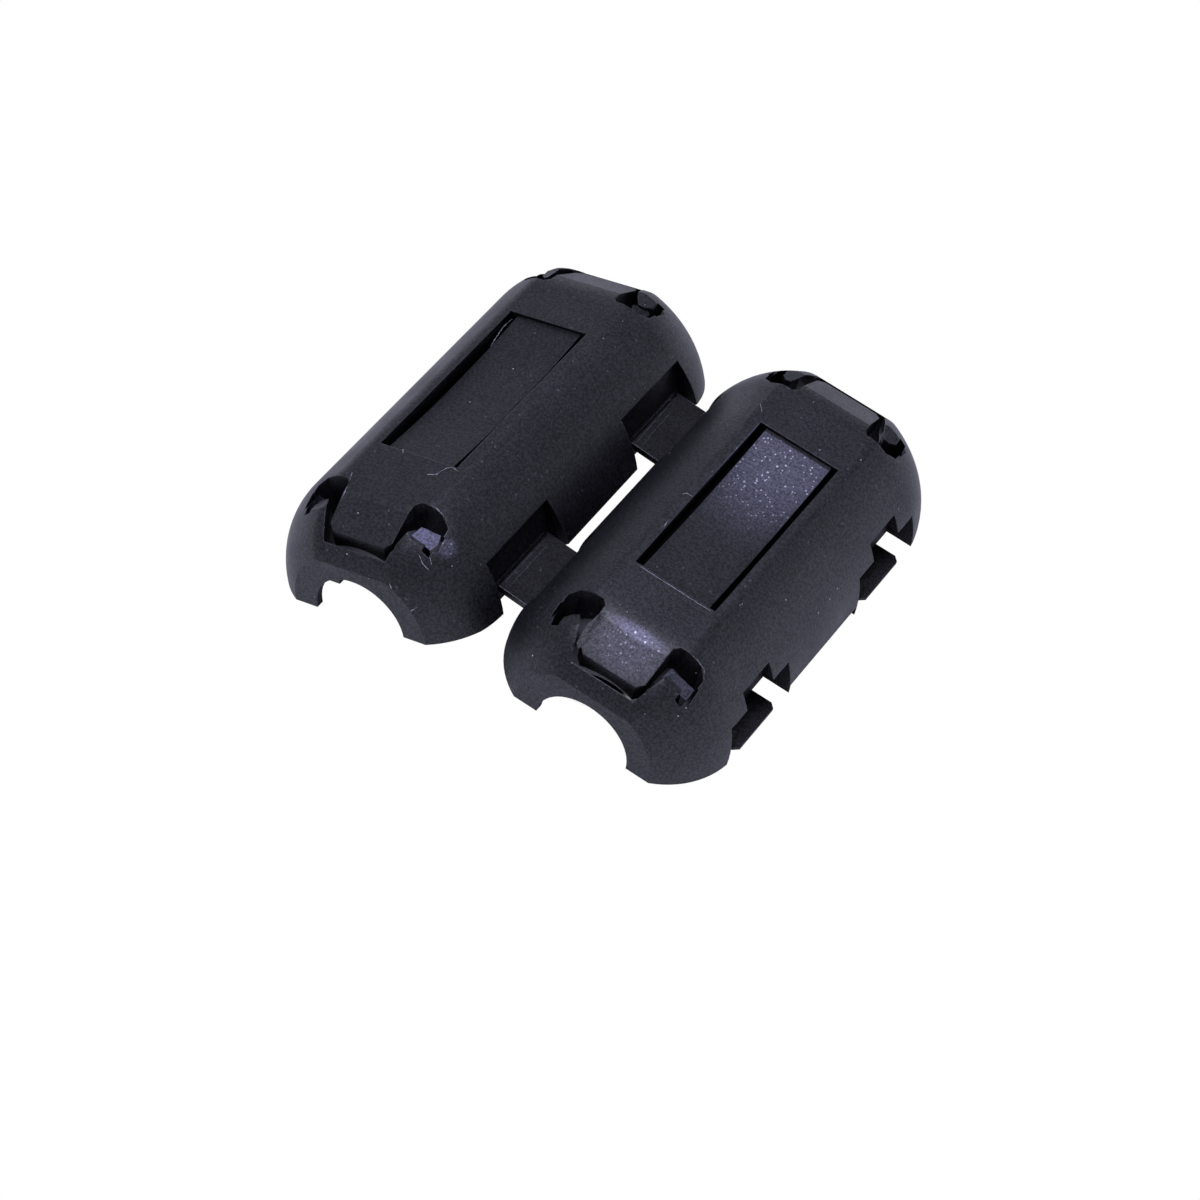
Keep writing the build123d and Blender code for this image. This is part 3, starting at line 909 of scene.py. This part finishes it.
# %% [markdown]
# ## Marks on the right half
#
# A black sheet of painted shade nearly closes the left side of the slot around the near latch tongue,
# where the slot wall is in shade. A skin of flash was meant to close the far end of the leaf's right
# slit, but it lies just beside the slit, level with the plastic. The corner of the lip on the other side
# of the tongue is scuffed, and fine burrs follow the far end of the leaf. A pale thread along the leaf's
# near edge is a painted highlight, where that edge catches the light.

# %% Right half: flash, a sheet of painted shade, and scuffed lip
right_slit_near, right_slit_far = (831, 484), (843, 470.5)
right_slit_half_width = 3.2
tongue_side_pixel = (610, 650)
tongue_plane = surface_at("right_shell", tongue_side_pixel)
# Painted shade: a black sheet over the slot wall beside the tongue.
tongue_shade_sheet = [(601, 612.5), (584, 627), (576.5, 643), (577.5, 650), (586, 643), (606, 612.5)]
add_piece(
    "right_slit_flash_and_shade_sheet",
    [
        slit_skin(right_slit_near, right_slit_far, right_slit_half_width, right_flat),
        skin(tongue_shade_sheet, tongue_plane, above=0.0, below=0.2),
    ],
    shell_plastic,
    "right_half",
)

right_lip_corners = ((654, 688), (708, 692), (684, 714))
right_lip_plane = plane_through("right_shell", right_lip_corners)
right_lip_facet = [(662, 677), (672, 669), (694, 690), (686, 701)]
right_facet = skin(right_lip_facet, right_lip_plane, above=0.02, below=0.12)
add_piece("right_lip_facet", [right_facet], grey_flash, "right_half")

# %% Right half: burrs, scratches and a painted highlight
# Painted highlight: a pale thread where the leaf's near edge catches the light.
leaf_near_edge_highlight = [(638, 565), (660, 579), (690, 598), (712, 612)]
leaf_far_flash = (
    [(805, 448.5), (812, 450), (819, 453.5)],
    [(842, 471.5), (845, 470.5), (849, 472.8)],
)
right_curl_burr = [(691, 654), (698, 661), (704, 669.5), (704, 679)]
shoulder_scratches = (
    [(682.5, 494), (687, 493), (692, 496)],
    [(760.3, 404), (762, 411.5)],
    [(664, 527), (668, 520)],
)
right_burrs_and_highlight = [burr("right_shell", leaf_near_edge_highlight, width=0.05, height=0.02)]
for line in leaf_far_flash:
    right_burrs_and_highlight.append(burr("right_shell", line, width=0.10, height=0.04, plane=right_flat))
right_burrs_and_highlight.append(burr("right_shell", right_curl_burr, width=0.05, height=0.03))
for line in shoulder_scratches:
    right_burrs_and_highlight.append(burr("right_shell", line, width=0.05, height=0.015))
add_piece("right_burrs_and_highlight", right_burrs_and_highlight, pale_flash_and_highlight, "right_half")

# %% Right half: dust
right_dust = [
    (742, 604), (740, 605), (861, 460), (786, 600), (781, 441), (804, 480), (781, 473),
    (757, 479), (770, 502), (795, 493), (645, 714), (678, 716), (572, 663), (686, 708),
    (696, 673), (627, 612), (618, 630), (640, 640), (652, 655), (660, 648), (820, 450),
]
right_grains = [grain("right_shell", pixel, rng.uniform(*dust_radii)) for pixel in right_dust]
add_piece("right_dust", right_grains, house_dust, "right_half")

# %% [markdown]
# ## Ridges of the hinge straps
#
# Each strap has a faint double ridge that runs along its fold. The burr function draws
# it, laid on the strap.

# %% Strap ridges
rear_ridges = ([(637, 442), (648, 429), (660, 415), (670, 404)], [(643, 444), (655, 430), (669, 414)])
front_ridges = ([(504, 583), (520, 566), (540, 545)], [(510, 586), (528, 566), (547, 546)])
ridges = [burr("rear_hinge_strap", line, width=0.06, height=0.02) for line in rear_ridges]
ridges += [burr("front_hinge_strap", line, width=0.06, height=0.02) for line in front_ridges]
add_piece("strap_ridges", ridges, grey_flash, "hinge_link")
